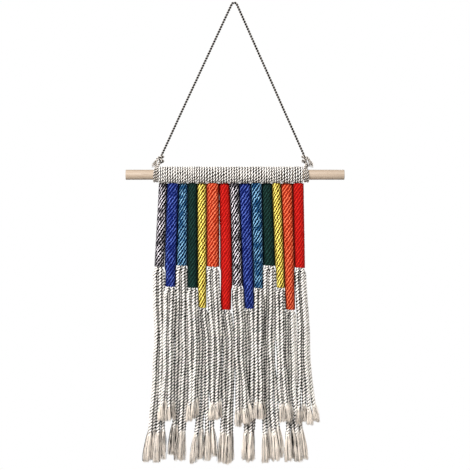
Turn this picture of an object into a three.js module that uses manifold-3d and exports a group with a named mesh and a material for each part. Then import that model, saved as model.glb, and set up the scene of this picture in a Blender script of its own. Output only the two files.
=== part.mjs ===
// A macrame wall hanging on a wooden dowel.
// Fourteen pairs of cotton cords are folded over the dowel, wrapped with coloured yarn and combed out
// at their ends. A thin cord tied to the dowel runs up over a hook on the wall.
// Millimetres, +X to the right, +Z up, the front faces -Y. The origin is the hook, under the cord's bend.
import * as THREE from "three";
import { mergeVertices } from "three/addons/utils/BufferGeometryUtils.js";
import Module from "manifold-3d";

const wasm = await Module();
wasm.setup();

// Driving dimensions
const SEAT_GAP = 0.3; // between two pieces that touch
const DOWEL = { left: -130.3, right: 132.1, radius: 6, z: -204.8, chamfer: 0.6, sides: 24 };
const CORD_THICK = 4.8; // a cotton strand where it hangs free
const KNOT = {
  thick: 3.9, // the cord, pulled tight over the dowel
  valley: 1.3, // how deep the grooves between its four turns are
  turns: 4,
  sideGap: 0.4, // from one knot to the next
  endReach: 5.2, // from the outermost columns to the row's ends
  sides: 10,
};
const BAR = {
  y: 11.6, z: -1.2, halfDeep: 2.6, halfTall: 3.8, endInset: 0.7,
  endPart: 0.12, // the share of its length in which each end swells
  endSize: 0.6,
  shoulder: 0.7, // the crests of its two cords, as a share of halfTall
  groove: 0.55, // the groove between them, as a share of halfDeep
};
const WRAP = { top: -215.7, deep: 11.4, yarn: 1.2, sides: 10, swell: [1, 1.02, 0.99, 0.97] };
const BUNDLE_INSET = 0.42; // from the yarn's inner face
const BUNDLE_PAST_WRAP = 1.5;
const BUNDLE_TOP = DOWEL.z - 7.2; // inside the lower side of the knots
const LAYER_Y = 2.55; // front and back strands of a bundle, from its middle
const ROOT_X = 2.55;
const MID_Z = -409.1; // the height at which every strand has taken its place
const TIER_HASTE = 2.6; // short strands come forward and long ones go back before they spread
const STRAND_TOP_GAP = 0.4; // from the yarn down to the strands' shoulders
const STRAND_BENDS = [0.35, 0.7]; // shares of the way down to MID_Z
const LOWER_BEND = 0.55; // share of the way from MID_Z to the combed end
const SWAY = 1.5; // above 1 the strands leave the vertical late
// The wrapped bundles hang under the back half of the dowel. There is hardly room for them side by side,
// so the short columns' bundles come forward a little and the long ones' go back.
const SHORT = { bundleY: 3, middleY: -4.35, fray: 21, spread: 1.5 };
const LONG = { bundleY: 6, middleY: 6.2, fray: 36, spread: 2.3 };
const WRAP_BOW_PARTS = [1 / 3, 2 / 3]; // where the sleeve and its bundle have a ring between their ends
const BACK_STRAND_SHORTER = 3;
const LOCK_DROP = [0, 2.4, 1.1, -1.3]; // how far the four locks of an end stop above its tip
const LOCK_TAPER = 0.75;
const LOCK_OUT = [[0.3, -0.12], [1, 0], [-0.3, 0.12], [-1, 0]]; // x and y, in shares of a tier's spread

// One row for each column, left to right. Short columns hang in front of the long ones.
// topX and lowX, lowZ: the wrap's ends. topWide and lowWide: its widths there. bow: how far its middle
// bends to the right.
// midX: the leftmost strand at MID_Z, step: from each strand to the next.
// tipL, tipR: the outermost tips. tipLZ, tipRZ: their heights.
const COLUMNS = [
  { yarn: "grey", topX: -85.7, lowX: -90.9, lowZ: -315.5, topWide: 10.1, lowWide: 10.8, bow: 0.0,
    midX: -94.4, step: 3.1, tipL: -106.2, tipR: -87.4, tipLZ: -551.3, tipRZ: -551.3 },
  { yarn: "royal", topX: -73.7, lowX: -76.9, lowZ: -339.5, topWide: 13.9, lowWide: 12.9, bow: 0.0,
    midX: -82.8, step: 3.0, tipL: -88.0, tipR: -74.8, tipLZ: -500.3, tipRZ: -501.5 },
  { yarn: "steel", topX: -61.2, lowX: -63.0, lowZ: -314.3, topWide: 10.9, lowWide: 12.9, bow: 0.0,
    midX: -69.0, step: 4.1, tipL: -75.0, tipR: -63.7, tipLZ: -542.3, tipRZ: -552.8 },
  { yarn: "green", topX: -50.3, lowX: -50.5, lowZ: -340.7, topWide: 10.9, lowWide: 12.4, bow: 0.1,
    midX: -52.9, step: 2.8, tipL: -54.4, tipR: -46.6, tipLZ: -501.5, tipRZ: -497.3 },
  { yarn: "yellow", topX: -39.2, lowX: -38.4, lowZ: -364.7, topWide: 10.8, lowWide: 10.4, bow: 0.0,
    midX: -40.0, step: 3.6, tipL: -49.2, tipR: -24.6, tipLZ: -552.5, tipRZ: -548.3 },
  { yarn: "orange", topX: -26.0, lowX: -25.9, lowZ: -315.5, topWide: 14.4, lowWide: 14.0, bow: 0.0,
    midX: -26.2, step: 3.3, tipL: -26.8, tipR: -19.6, tipLZ: -499.7, tipRZ: -500.9 },
  { yarn: "red", topX: -12.0, lowX: -10.6, lowZ: -367.1, topWide: 12.3, lowWide: 13.6, bow: 1.6,
    midX: -11.9, step: 3.4, tipL: -15.4, tipR: -5.8, tipLZ: -551.9, tipRZ: -554.3 },
  { yarn: "grey", topX: -0.3, lowX: 4.2, lowZ: -338.3, topWide: 10.8, lowWide: 10.8, bow: 0.3,
    midX: 2.6, step: 3.0, tipL: 5.0, tipR: 20.0, tipLZ: -508.1, tipRZ: -503.9 },
  { yarn: "royal", topX: 12.7, lowX: 18.3, lowZ: -365.9, topWide: 13.9, lowWide: 12.8, bow: -0.3,
    midX: 15.7, step: 3.0, tipL: 12.8, tipR: 20.6, tipLZ: -549.5, tipRZ: -551.9 },
  { yarn: "steel", topX: 26.5, lowX: 29.2, lowZ: -341.3, topWide: 13.1, lowWide: 11.2, bow: 0.4,
    midX: 25.6, step: 2.7, tipL: 27.2, tipR: 34.2, tipLZ: -497.9, tipRZ: -500.3 },
  { yarn: "green", topX: 39.1, lowX: 42.2, lowZ: -314.3, topWide: 12.0, lowWide: 13.2, bow: 0.0,
    midX: 35.6, step: 3.7, tipL: 36.8, tipR: 56.0, tipLZ: -551.9, tipRZ: -549.5 },
  { yarn: "yellow", topX: 50.5, lowX: 55.4, lowZ: -340.7, topWide: 9.8, lowWide: 10.2, bow: 0.4,
    midX: 52.4, step: 2.3, tipL: 57.0, tipR: 67.8, tipLZ: -502.1, tipRZ: -501.5 },
  { yarn: "orange", topX: 62.8, lowX: 67.4, lowZ: -367.1, topWide: 13.8, lowWide: 12.0, bow: 0.5,
    midX: 62.9, step: 3.6, tipL: 65.0, tipR: 83.6, tipLZ: -550.7, tipRZ: -551.3 },
  { yarn: "red", topX: 77.0, lowX: 79.0, lowZ: -316.7, topWide: 12.9, lowWide: 12.2, bow: 0.0,
    midX: 78.5, step: 3.3, tipL: 76.2, tipR: 98.6, tipLZ: -505.1, tipRZ: -505.7 },
];

// The hanging cord, and the two knots that tie it to the dowel
const HANGER = { diameter: 3.2, sides: 8, stepsPerPoint: 2 };
const HANGER_ROUTE = [
  // x, z, from the left knot over the hook to the right knot
  [-87.2, -181.4], [-78.7, -163], [-70.9, -146], [-63.1, -129], [-55.2, -112], [-47.2, -95],
  [-39.3, -78], [-31.4, -61], [-23.5, -44], [-15.6, -27], [-8.6, -12],
  [-3.1, -0.4], [-2.1, 0.9], [0, 1.6], [2.1, 0.9], [3.1, -0.4],
  [8.3, -12], [15.0, -27], [22.5, -44], [30.1, -61], [37.7, -78],
  [45.3, -95], [52.8, -112], [60.3, -129], [67.9, -146], [75.5, -163], [83.6, -181.4],
];
const CORD_KNOTS = {
  left: { turnsFrom: -96.9, turnsTo: -91.8, x: -90.0, z: -187.3, halfWide: 4.6, halfTall: 6.6, tail: -1 },
  right: { turnsFrom: 82.5, turnsTo: 88.3, x: 85.6, z: -188.0, halfWide: 5.2, halfTall: 6.2, tail: 1 },
};
const CORD_KNOT = {
  turns: 2,
  valley: 0.9, // between the two turns
  halfDeep: 4.3,
  neckHalf: 2.2,
  tailWide: 2.2,
  tailEndWide: 3.5,
  tailSteps: [[0, 1], [3.6, -1.5], [4.95, -5.5]], // out from the lump and up from its middle
  tailInside: 1.5, // how deep the tail starts in the lump
  sides: 10,
  rows: 6,
};

// Colours of the finished surfaces
const COTTON = "#e6e0d6";
const WOOD = "#d9bd98";
const YARN = {
  grey: "#77717f", royal: "#2b3f97", steel: "#3f7fae", green: "#1f4038", yellow: "#cdb95c",
  orange: "#dd5f33", red: "#cf241d",
};

const mix = (a, b, t) => a + (b - a) * t;
const smooth = (t) => t * t * (3 - 2 * t);

// Solids: a closed geometry as a manifold, and several joined into one geometry
function solid(geometry) {
  const bare = geometry.index ? geometry.clone() : geometry;
  bare.deleteAttribute("normal");
  bare.deleteAttribute("uv");
  const merged = mergeVertices(bare, 1e-4);
  return new wasm.Manifold(
    new wasm.Mesh({
      numProp: 3,
      vertProperties: new Float32Array(merged.attributes.position.array),
      triVerts: new Uint32Array(merged.index.array),
    }),
  );
}

function join(geometries) {
  let whole = solid(geometries[0]);
  for (const next of geometries.slice(1)) whole = whole.add(solid(next));
  const mesh = whole.getMesh();
  const joined = new THREE.BufferGeometry();
  joined.setAttribute("position", new THREE.BufferAttribute(mesh.vertProperties, 3));
  joined.setIndex(new THREE.BufferAttribute(mesh.triVerts, 1));
  return joined;
}

// A skin over rings of points that all turn the same way, capped at its ends, or led back to the first ring.
function loft(rings, ringed = false) {
  const count = rings[0].length;
  const index = [];
  const bands = ringed ? rings.length : rings.length - 1;
  for (let r = 0; r < bands; r += 1) {
    const here = r * count;
    const next = ((r + 1) % rings.length) * count;
    for (let i = 0; i < count; i += 1) {
      const j = (i + 1) % count;
      index.push(here + i, here + j, next + j, here + i, next + j, next + i);
    }
  }
  if (!ringed) {
    const last = (rings.length - 1) * count;
    for (let i = 1; i < count - 1; i += 1) {
      index.push(0, i + 1, i, last, last + i, last + i + 1);
    }
  }
  return skin(rings.flat(), index);
}

function skin(points, index) {
  const geometry = new THREE.BufferGeometry();
  geometry.setAttribute("position", new THREE.Float32BufferAttribute(points.flat(), 3));
  geometry.setIndex(index);
  geometry.computeVertexNormals();
  return geometry;
}

// A level oval ring of points, from above anticlockwise
function oval(x, y, z, halfWide, halfDeep, sides) {
  const ring = [];
  for (let i = 0; i < sides; i += 1) {
    const angle = (2 * Math.PI * (i + 0.5)) / sides;
    ring.push([x + halfWide * Math.cos(angle), y + halfDeep * Math.sin(angle), z]);
  }
  return ring;
}

function square(x, y, z, half) {
  return [
    [x - half, y - half, z],
    [x + half, y - half, z],
    [x + half, y + half, z],
    [x - half, y + half, z],
  ];
}

// A ring round the dowel whose outside has one ridge for each turn of cord
function ridgedRing(from, to, turns, thick, valley) {
  const inside = (DOWEL.radius + SEAT_GAP) / Math.cos(Math.PI / KNOT.sides);
  const outside = inside + thick;
  const profile = [new THREE.Vector2(inside, from)];
  for (let i = 0; i <= 2 * turns; i += 1) {
    const onRidge = i % 2 === 1;
    const radius = onRidge ? outside : outside - valley;
    profile.push(new THREE.Vector2(radius, mix(from, to, i / (2 * turns))));
  }
  profile.push(new THREE.Vector2(inside, to), new THREE.Vector2(inside, from));
  const ring = new THREE.LatheGeometry(profile, KNOT.sides);
  ring.rotateZ(-Math.PI / 2);
  ring.translate(0, 0, DOWEL.z);
  return ring;
}

// The dowel
function dowel() {
  const { left, right, radius, z, chamfer, sides } = DOWEL;
  const profile = [
    [0, left], [radius - chamfer, left], [radius, left + chamfer],
    [radius, right - chamfer], [radius - chamfer, right], [0, right],
  ].map(([r, x]) => new THREE.Vector2(r, x));
  const rod = new THREE.LatheGeometry(profile, sides);
  rod.rotateZ(-Math.PI / 2);
  rod.translate(0, 0, z);
  return rod;
}

// The mounting knot of a column fills the row from halfway to one neighbour to halfway to the other.
function knotSpan(number) {
  const x = COLUMNS[number].topX;
  const before = COLUMNS[number - 1]?.topX;
  const after = COLUMNS[number + 1]?.topX;
  const from = before === undefined ? x - KNOT.endReach : (before + x) / 2 + KNOT.sideGap / 2;
  const to = after === undefined ? x + KNOT.endReach : (x + after) / 2 - KNOT.sideGap / 2;
  return { from, to };
}

// The knot's bar, two cords that cross over the tails behind the dowel
function knotBar({ from, to }) {
  const rings = [0, BAR.endPart, 1 - BAR.endPart, 1].map((t) => {
    const size = t === 0 || t === 1 ? BAR.endSize : 1;
    const x = mix(from + BAR.endInset, to - BAR.endInset, t);
    const tall = BAR.halfTall * size;
    const deep = BAR.halfDeep * size;
    const crest = tall * BAR.shoulder;
    const outline = [[-deep, -tall], [deep, -crest], [deep * BAR.groove, 0], [deep, crest], [-deep, tall]];
    return outline.map(([y, z]) => [x, BAR.y + y, DOWEL.z + BAR.z + z]);
  });
  return loft(rings);
}

const tierOf = (number) => (number % 2 === 1 ? SHORT : LONG);

// The middle of a wrap, t of the way down
function wrapX(column, t) {
  return mix(column.topX, column.lowX, t) + column.bow * 4 * t * (1 - t);
}

// The bundle of four tails inside the yarn
function bundle(column, number) {
  const halfDeep = WRAP.deep / 2 - WRAP.yarn - BUNDLE_INSET;
  const tall = WRAP.top - column.lowZ;
  const above = (BUNDLE_TOP - WRAP.top) / tall;
  const rings = [-above, 0, ...WRAP_BOW_PARTS, 1 + BUNDLE_PAST_WRAP / tall].map((t) => {
    const inWrap = Math.min(1, Math.max(0, t));
    const halfWide = mix(column.topWide, column.lowWide, inWrap) / 2 - WRAP.yarn - BUNDLE_INSET;
    const x = wrapX(column, inWrap);
    return oval(x, tierOf(number).bundleY, WRAP.top - t * tall, halfWide, halfDeep, WRAP.sides);
  });
  return loft(rings.reverse());
}

// Coloured yarn wound round the bundle, a sleeve that swells a little here and there
function yarnWrap(column, number) {
  const ringAt = (t, inset, swell) => {
    const z = mix(WRAP.top, column.lowZ, t);
    const halfWide = (mix(column.topWide, column.lowWide, t) / 2) * swell - inset;
    const halfDeep = (WRAP.deep / 2) * swell - inset;
    return oval(wrapX(column, t), tierOf(number).bundleY, z, halfWide, halfDeep, WRAP.sides);
  };
  const places = [0, ...WRAP_BOW_PARTS, 1];
  const outside = places.map((t, i) => ringAt(t, 0, WRAP.swell[i]));
  const inside = places.map((t) => ringAt(t, WRAP.yarn, 1));
  return loft([...outside.reverse(), ...inside], true);
}

// Where strand number i of a column is, at a height
function strandPlace(column, number, i, z) {
  const tier = tierOf(number);
  const rootZ = column.lowZ;
  const layer = i % 2 === 0 ? -LAYER_Y : LAYER_Y;
  const rootX = column.lowX + (i < 2 ? -ROOT_X : ROOT_X);
  const midX = column.midX + column.step * i;
  const tipX = mix(column.tipL, column.tipR, i / 3);
  const fallen = (rootZ - z) / (rootZ - MID_Z);
  const upper = smooth(Math.min(1, fallen));
  const parted = smooth(Math.min(1, fallen * TIER_HASTE));
  const lower = Math.max(0, (MID_Z - z) / (MID_Z - strandTip(column, i)));
  const x = mix(rootX, midX, upper) + (tipX - midX) * lower ** SWAY;
  return { x, y: mix(tier.bundleY, tier.middleY, parted) + layer };
}

function strandTip(column, i) {
  return mix(column.tipLZ, column.tipRZ, i / 3) + (i % 2) * BACK_STRAND_SHORTER;
}

// One strand: a square tube whose end splits into four three-sided locks
function strand(column, number, i) {
  const tier = tierOf(number);
  const half = CORD_THICK / 2;
  const tip = strandTip(column, i);
  const combed = tip + tier.fray;
  const rootZ = column.lowZ - STRAND_TOP_GAP;
  const bends = STRAND_BENDS.map((t) => mix(rootZ, MID_Z, t));
  const heights = [rootZ, ...bends, MID_Z, mix(MID_Z, combed, LOWER_BEND), combed];
  const points = [];
  const index = [0, 1, 2, 0, 2, 3];
  heights.forEach((z, row) => {
    const { x, y } = strandPlace(column, number, i, z);
    points.push(...square(x, y, z, half));
    if (row === 0) return;
    for (let side = 0; side < 4; side += 1) {
      const a = (row - 1) * 4 + side;
      const b = (row - 1) * 4 + ((side + 1) % 4);
      index.push(a, a + 4, b + 4, a, b + 4, b);
    }
  });
  const start = strandPlace(column, number, i, combed);
  const end = strandPlace(column, number, i, tip);
  const corners = (heights.length - 1) * 4;
  const centre = points.length;
  points.push([start.x, start.y, combed]);
  for (let lock = 0; lock < 4; lock += 1) {
    const root = [corners + lock, corners + ((lock + 1) % 4), centre];
    const x = end.x + LOCK_OUT[lock][0] * tier.spread;
    const y = end.y + LOCK_OUT[lock][1] * tier.spread;
    const z = tip + LOCK_DROP[(lock + i + number) % 4];
    const first = points.length;
    for (const p of root) {
      const [rootX, rootY] = points[p];
      points.push([x + (rootX - start.x) * LOCK_TAPER, y + (rootY - start.y) * LOCK_TAPER, z]);
    }
    for (let k = 0; k < 3; k += 1) {
      const next = (k + 1) % 3;
      index.push(root[k], first + k, first + next, root[k], first + next, root[next]);
    }
    index.push(first, first + 2, first + 1);
  }
  return skin(points, index);
}

// All the cotton of a column: the knot, its bar, the bundle and four strands
function cottonColumn(column, number) {
  const span = knotSpan(number);
  const pieces = [
    ridgedRing(span.from, span.to, KNOT.turns, KNOT.thick, KNOT.valley),
    knotBar(span),
    bundle(column, number),
  ];
  for (let i = 0; i < 4; i += 1) pieces.push(strand(column, number, i));
  return join(pieces);
}

// The hanging cord goes straight from point to point of its route, however far apart they are.
class Route extends THREE.CatmullRomCurve3 {
  getPointAt(t, target) {
    return this.getPoint(t, target);
  }
}

function hangingCord() {
  const route = new Route(HANGER_ROUTE.map(([x, z]) => new THREE.Vector3(x, 0, z)));
  const section = new THREE.Shape();
  for (let i = 0; i < HANGER.sides; i += 1) {
    const angle = (2 * Math.PI * i) / HANGER.sides;
    const x = (HANGER.diameter / 2) * Math.cos(angle);
    const y = (HANGER.diameter / 2) * Math.sin(angle);
    if (i === 0) section.moveTo(x, y);
    else section.lineTo(x, y);
  }
  const steps = (HANGER_ROUTE.length - 1) * HANGER.stepsPerPoint;
  return new THREE.ExtrudeGeometry(section, { steps, bevelEnabled: false, extrudePath: route });
}

// Two turns of the hanging cord round the dowel, the knot on top of them and its frayed tail
function cordKnot({ turnsFrom, turnsTo, x, z, halfWide, halfTall, tail }) {
  const turns = ridgedRing(turnsFrom, turnsTo, CORD_KNOT.turns, HANGER.diameter, CORD_KNOT.valley);
  const lump = new THREE.SphereGeometry(1, CORD_KNOT.sides, CORD_KNOT.rows);
  lump.rotateX(Math.PI / 2);
  lump.scale(halfWide, CORD_KNOT.halfDeep, halfTall);
  lump.translate(x, 0, z);
  const turnsX = (turnsFrom + turnsTo) / 2;
  const neck = loft([
    square(turnsX, 0, DOWEL.z + DOWEL.radius + 1, CORD_KNOT.neckHalf),
    square(mix(turnsX, x, 0.5), 0, z - 2, CORD_KNOT.neckHalf),
  ]);
  const rootX = x + tail * (halfWide - CORD_KNOT.tailInside);
  const loose = loft(
    CORD_KNOT.tailSteps.map(([out, up], i, steps) => {
      const wide = i === steps.length - 1 ? CORD_KNOT.tailEndWide : CORD_KNOT.tailWide;
      return square(rootX + tail * out, 0, z + up, wide / 2);
    }).reverse(),
  );
  return join([turns, lump, neck, loose]);
}

function piece(name, geometry, colour, roughness = 0.9) {
  const material = new THREE.MeshStandardMaterial({ color: colour, roughness, metalness: 0 });
  const mesh = new THREE.Mesh(geometry, material);
  mesh.name = name;
  return mesh;
}

const hanging = new THREE.Group();
hanging.add(piece("dowel", dowel(), WOOD, 0.6));
COLUMNS.forEach((column, number) => {
  const label = String(number + 1).padStart(2, "0");
  hanging.add(piece(`cords_${label}`, cottonColumn(column, number), COTTON));
  hanging.add(piece(`wrap_${label}`, yarnWrap(column, number), YARN[column.yarn]));
});
hanging.add(piece("hanging_cord", hangingCord(), COTTON));
for (const [side, knot] of Object.entries(CORD_KNOTS)) {
  hanging.add(piece(`cord_knot_${side}`, cordKnot(knot), COTTON));
}

export default hanging;
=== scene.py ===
# %% [markdown]
# # A macrame wall hanging
# Cotton cords are folded over a wooden dowel, wrapped with coloured yarn and combed out at their
# ends. A thin cord that is tied to the dowel runs up over a hook on the wall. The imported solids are
# loaded first. They say where every piece is, and this script gives the pieces their looks: twisted
# cord, wound yarn, loose fibres and wood grain. Lengths are in millimetres here, and they become
# metres when a mesh is made.

# %% Load the solids
import math

import bpy
import numpy as np
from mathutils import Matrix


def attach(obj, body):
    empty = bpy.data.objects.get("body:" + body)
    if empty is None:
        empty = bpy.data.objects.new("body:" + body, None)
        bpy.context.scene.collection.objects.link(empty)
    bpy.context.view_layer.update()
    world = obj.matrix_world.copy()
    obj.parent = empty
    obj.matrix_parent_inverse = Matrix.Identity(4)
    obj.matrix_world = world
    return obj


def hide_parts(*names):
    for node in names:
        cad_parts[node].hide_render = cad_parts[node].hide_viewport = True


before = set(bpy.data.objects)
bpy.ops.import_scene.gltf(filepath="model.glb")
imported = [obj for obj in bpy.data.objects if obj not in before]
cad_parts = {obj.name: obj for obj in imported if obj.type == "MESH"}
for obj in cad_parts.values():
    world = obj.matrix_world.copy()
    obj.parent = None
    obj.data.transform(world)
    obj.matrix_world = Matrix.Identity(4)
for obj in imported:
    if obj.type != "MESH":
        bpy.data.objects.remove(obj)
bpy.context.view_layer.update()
bpy.ops.object.select_all(action="DESELECT")
MM = 0.001
BODY = "root"

# %% [markdown]
# ## Sizes
# The hanging has fourteen columns. Each is a pair of cords, so four strands hang from it, two in
# front of two. The table has one row for each column, with the same numbers as the solids: the wrap's
# ends, widths and bow, where the leftmost strand hangs at MID_Z, the step to the next one, and the
# outermost tips. Short columns hang in front and long ones behind, turn by turn, so there are two
# tiers. A tier says how far back its bundles and strands are, how long their combed ends are and how
# wide these open.

# %% The columns
FIELDS = """yarn top_x low_x low_z top_wide low_wide bow
    mid_x step tip_left tip_right tip_left_z tip_right_z""".split()
ROWS = [
    ("grey", -85.7, -90.9, -315.5, 10.1, 10.8, 0.0, -94.4, 3.1, -106.2, -87.4, -551.3, -551.3),
    ("royal", -73.7, -76.9, -339.5, 13.9, 12.9, 0.0, -82.8, 3.0, -88.0, -74.8, -500.3, -501.5),
    ("steel", -61.2, -63.0, -314.3, 10.9, 12.9, 0.0, -69.0, 4.1, -75.0, -63.7, -542.3, -552.8),
    ("green", -50.3, -50.5, -340.7, 10.9, 12.4, 0.1, -52.9, 2.8, -54.4, -46.6, -501.5, -497.3),
    ("yellow", -39.2, -38.4, -364.7, 10.8, 10.4, 0.0, -40.0, 3.6, -49.2, -24.6, -552.5, -548.3),
    ("orange", -26.0, -25.9, -315.5, 14.4, 14.0, 0.0, -26.2, 3.3, -26.8, -19.6, -499.7, -500.9),
    ("red", -12.0, -10.6, -367.1, 12.3, 13.6, 1.6, -11.9, 3.4, -15.4, -5.8, -551.9, -554.3),
    ("grey", -0.3, 4.2, -338.3, 10.8, 10.8, 0.3, 2.6, 3.0, 5.0, 20.0, -508.1, -503.9),
    ("royal", 12.7, 18.3, -365.9, 13.9, 12.8, -0.3, 15.7, 3.0, 12.8, 20.6, -549.5, -551.9),
    ("steel", 26.5, 29.2, -341.3, 13.1, 11.2, 0.4, 25.6, 2.7, 27.2, 34.2, -497.9, -500.3),
    ("green", 39.1, 42.2, -314.3, 12.0, 13.2, 0.0, 35.6, 3.7, 36.8, 56.0, -551.9, -549.5),
    ("yellow", 50.5, 55.4, -340.7, 9.8, 10.2, 0.4, 52.4, 2.3, 57.0, 67.8, -502.1, -501.5),
    ("orange", 62.8, 67.4, -367.1, 13.8, 12.0, 0.5, 62.9, 3.6, 65.0, 83.6, -550.7, -551.3),
    ("red", 77.0, 79.0, -316.7, 12.9, 12.2, 0.0, 78.5, 3.3, 76.2, 98.6, -505.1, -505.7),
]
COLUMNS = [dict(zip(FIELDS, row)) for row in ROWS]
TIERS = {
    "long": {"bundle_y": 6.0, "middle_y": 6.2, "fray": 36.0, "brush": 5.3},
    "short": {"bundle_y": 3.0, "middle_y": -4.35, "fray": 21.0, "brush": 4.7},
}
for number, column in enumerate(COLUMNS):
    column["label"] = f"{number + 1:02d}"
    column["tier"] = TIERS["short" if number % 2 else "long"]

DOWEL_LEFT, DOWEL_RIGHT, DOWEL_R, DOWEL_Z = -130.3, 132.1, 6.0, -204.8
LAYER_Y = 2.55  # the front and back strands of a bundle, from its middle
MID_Z = -409.1
TIER_HASTE = 2.6  # short strands come forward and long ones go back before they spread
BACK_SHORTER = 3.0
WRAP_TOP = -215.1
WRAP_DEEP = 11.4
WRAP_YARN = 1.2
CORD_R = 2.9  # a cotton strand where it hangs free
KNOT_GAP = 0.4
KNOT_END = 5.2


def neighbour(column, side):
    """The next column to the left or right, where there is one."""
    number = COLUMNS.index(column) + side
    return COLUMNS[number] if 0 <= number < len(COLUMNS) else None


print(len(COLUMNS), "columns, from", COLUMNS[0]["top_x"], "to", COLUMNS[-1]["top_x"], "mm")

# %% [markdown]
# ## The camera
# The picture is a straight front view, square, with the hook just under its upper edge. A long lens
# far away shows the hanging without much perspective. The camera looks along +Y at the middle of the
# picture, and its lens is worked out from how wide the picture is at the hanging.

# %% Camera
VIEW_WIDE = 564.0
VIEW_MIDDLE = (0.84, -277.1)
CAMERA_AWAY = 2500.0
SENSOR = 36.0

camera_data = bpy.data.cameras.new("camera")
camera_data.sensor_width = SENSOR
camera_data.lens = SENSOR * CAMERA_AWAY / VIEW_WIDE
camera = bpy.data.objects.new("camera", camera_data)
camera.location = (VIEW_MIDDLE[0] * MM, -CAMERA_AWAY * MM, VIEW_MIDDLE[1] * MM)
camera.rotation_euler = (math.radians(90), 0, 0)
bpy.context.scene.collection.objects.link(camera)
bpy.context.scene.camera = camera
print("lens", round(camera_data.lens, 1), "mm")

# %% [markdown]
# ## Collecting many thin things in one mesh
# A strand, a turn of yarn and a fibre are all tubes: rings of points, one after another. Hundreds of
# separate objects would be slow, and modifiers can't give each its own twist, so each piece gathers
# its tubes as arrays and becomes one mesh at the end. The UV map holds the way along and around a
# tube in centimetres, so a pattern can follow the twist, and three attributes go with the points.
# "shade" is a painted shade: 0 in the depth of a groove and 1 on a crown, and lower on flanks where
# strands hang close. The tone attribute is a strand's own tone, and on a wrap it holds a painted
# shade:
# 0 on the flanks and 1 in front and behind. "combed" is 1 on loose fibres.

# %% A gatherer of tubes
UV_SIZE = 0.1  # a UV unit is a centimetre


class Skein:
    def __init__(self):
        self.points, self.faces, self.uvs = [], [], []
        self.shades, self.tints, self.combed = [], [], []
        self.count = 0

    def add_points(self, points, shade, tint, combed=0.0):
        first = self.count
        self.points.append(points.reshape(-1, 3))
        self.shades.append(np.broadcast_to(shade, points.shape[:-1]).ravel())
        self.tints.append(np.broadcast_to(tint, points.shape[:-1]).ravel())
        self.combed.append(np.full(len(self.points[-1]), combed))
        self.count += len(self.points[-1])
        return first

    def add_cap(self, indices):
        self.faces.append(list(indices))
        self.uvs.append(np.zeros((len(indices), 2)))

    def add_tube(self, rings, along, around, shade, tint, combed=0.0):
        """rings: an array of rows, points in a row, and x, y, z. Each row is closed to a ring."""
        rows, across = rings.shape[:2]
        first = self.add_points(rings, shade, tint, combed)
        row, column = np.meshgrid(np.arange(rows - 1), np.arange(across), indexing="ij")
        row, column = row.ravel(), column.ravel()
        beside = (column + 1) % across
        corners = [row * across + column, row * across + beside]
        corners += [(row + 1) * across + beside, (row + 1) * across + column]
        self.faces.extend((np.stack(corners, axis=1) + first).tolist())
        u = [along[row], along[row], along[row + 1], along[row + 1]]
        v = [around[column], around[column + 1], around[column + 1], around[column]]
        self.uvs.append(np.stack([np.stack(u, 1), np.stack(v, 1)], axis=2).reshape(-1, 2) * UV_SIZE)
        last = first + (rows - 1) * across
        self.add_cap(range(first + across - 1, first - 1, -1))
        self.add_cap(range(last, last + across))

    def make(self, name):
        """The gathered tubes as one smooth object, in metres."""
        mesh = bpy.data.meshes.new(name)
        mesh.from_pydata((np.concatenate(self.points) * MM).tolist(), [], self.faces)
        mesh.uv_layers.new(name="UVMap").data.foreach_set("uv", np.concatenate(self.uvs).ravel())
        for title, values in (("shade", self.shades), ("tint", self.tints), ("combed", self.combed)):
            layer = mesh.attributes.new(title, "FLOAT", "POINT")
            layer.data.foreach_set("value", np.concatenate(values).astype(np.float32))
        mesh.shade_smooth()
        piece = bpy.data.objects.new(name, mesh)
        bpy.context.scene.collection.objects.link(piece)
        triangles = sum(len(face) - 2 for face in self.faces)
        print(name, triangles, "triangles")
        return piece


def mix(a, b, t):
    return a + (b - a) * t


def ease(t):
    t = np.clip(t, 0.0, 1.0)
    return t * t * (3 - 2 * t)


# %% [markdown]
# ## Twisted cord
# Cotton cord is three plies that are twisted together, so its section is a rounded trefoil that turns
# as it goes along. The thin hanging cord has two plies. They are soft and press into each other,
# which makes the grooves shallow. A curve with a bevel would give a smooth hose, so the section is
# worked out and swept along the route. The sides of a ring are carried from step to step without
# turning, and only the lay of the cord turns the section. Little light comes in between strands that
# hang side by side, so their "shade" fades on the flanks.

# %% Routes and the frames along them
def curve_through(points, step):
    """A smooth route through the given points, with even steps."""
    points = np.asarray(points, dtype=float)
    before = np.vstack([2 * points[0] - points[1], points, 2 * points[-1] - points[-2]])
    t = np.linspace(0, 1, 12, endpoint=False)[:, None]
    parts = [
        b + 0.5 * t * (c - a + t * (2 * a - 5 * b + 4 * c - d + t * (3 * (b - c) + d - a)))
        for a, b, c, d in zip(before, before[1:], before[2:], before[3:])
    ]
    return even_steps(np.vstack([*parts, points[-1:]]), step)


def lengths_along(route):
    return np.concatenate([[0.0], np.cumsum(np.linalg.norm(np.diff(route, axis=0), axis=1))])


def even_steps(route, step):
    far = lengths_along(route)
    stops = np.linspace(0, far[-1], max(3, round(far[-1] / step) + 1))
    return np.stack([np.interp(stops, far, route[:, k]) for k in range(3)], axis=1)


def sides_along(route, side):
    """Two directions across the route at each of its points, carried along without a turn."""
    ahead = np.gradient(route, axis=0)
    ahead /= np.linalg.norm(ahead, axis=1, keepdims=True)
    across = np.empty_like(ahead)
    side = np.array(side, dtype=float)
    for i, direction in enumerate(ahead):
        side = side - direction * side.dot(direction)
        side /= np.linalg.norm(side)
        across[i] = side
    return across, np.cross(ahead, across)


# %% A rope
PLY = 0.53  # the radius of a ply, as a share of the cord's
PLY_POINTS = 5
# Painted shade on a strand's flanks, where other strands stand close: where it begins, how it fades
# in, and how much is left.
FLANK = 0.74  # where other strands stand close, a strand's flanks are dark from here on
FLANK_FADE = 0.2
FLANK_SHADE = 0.3  # the shade that is left there


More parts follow.
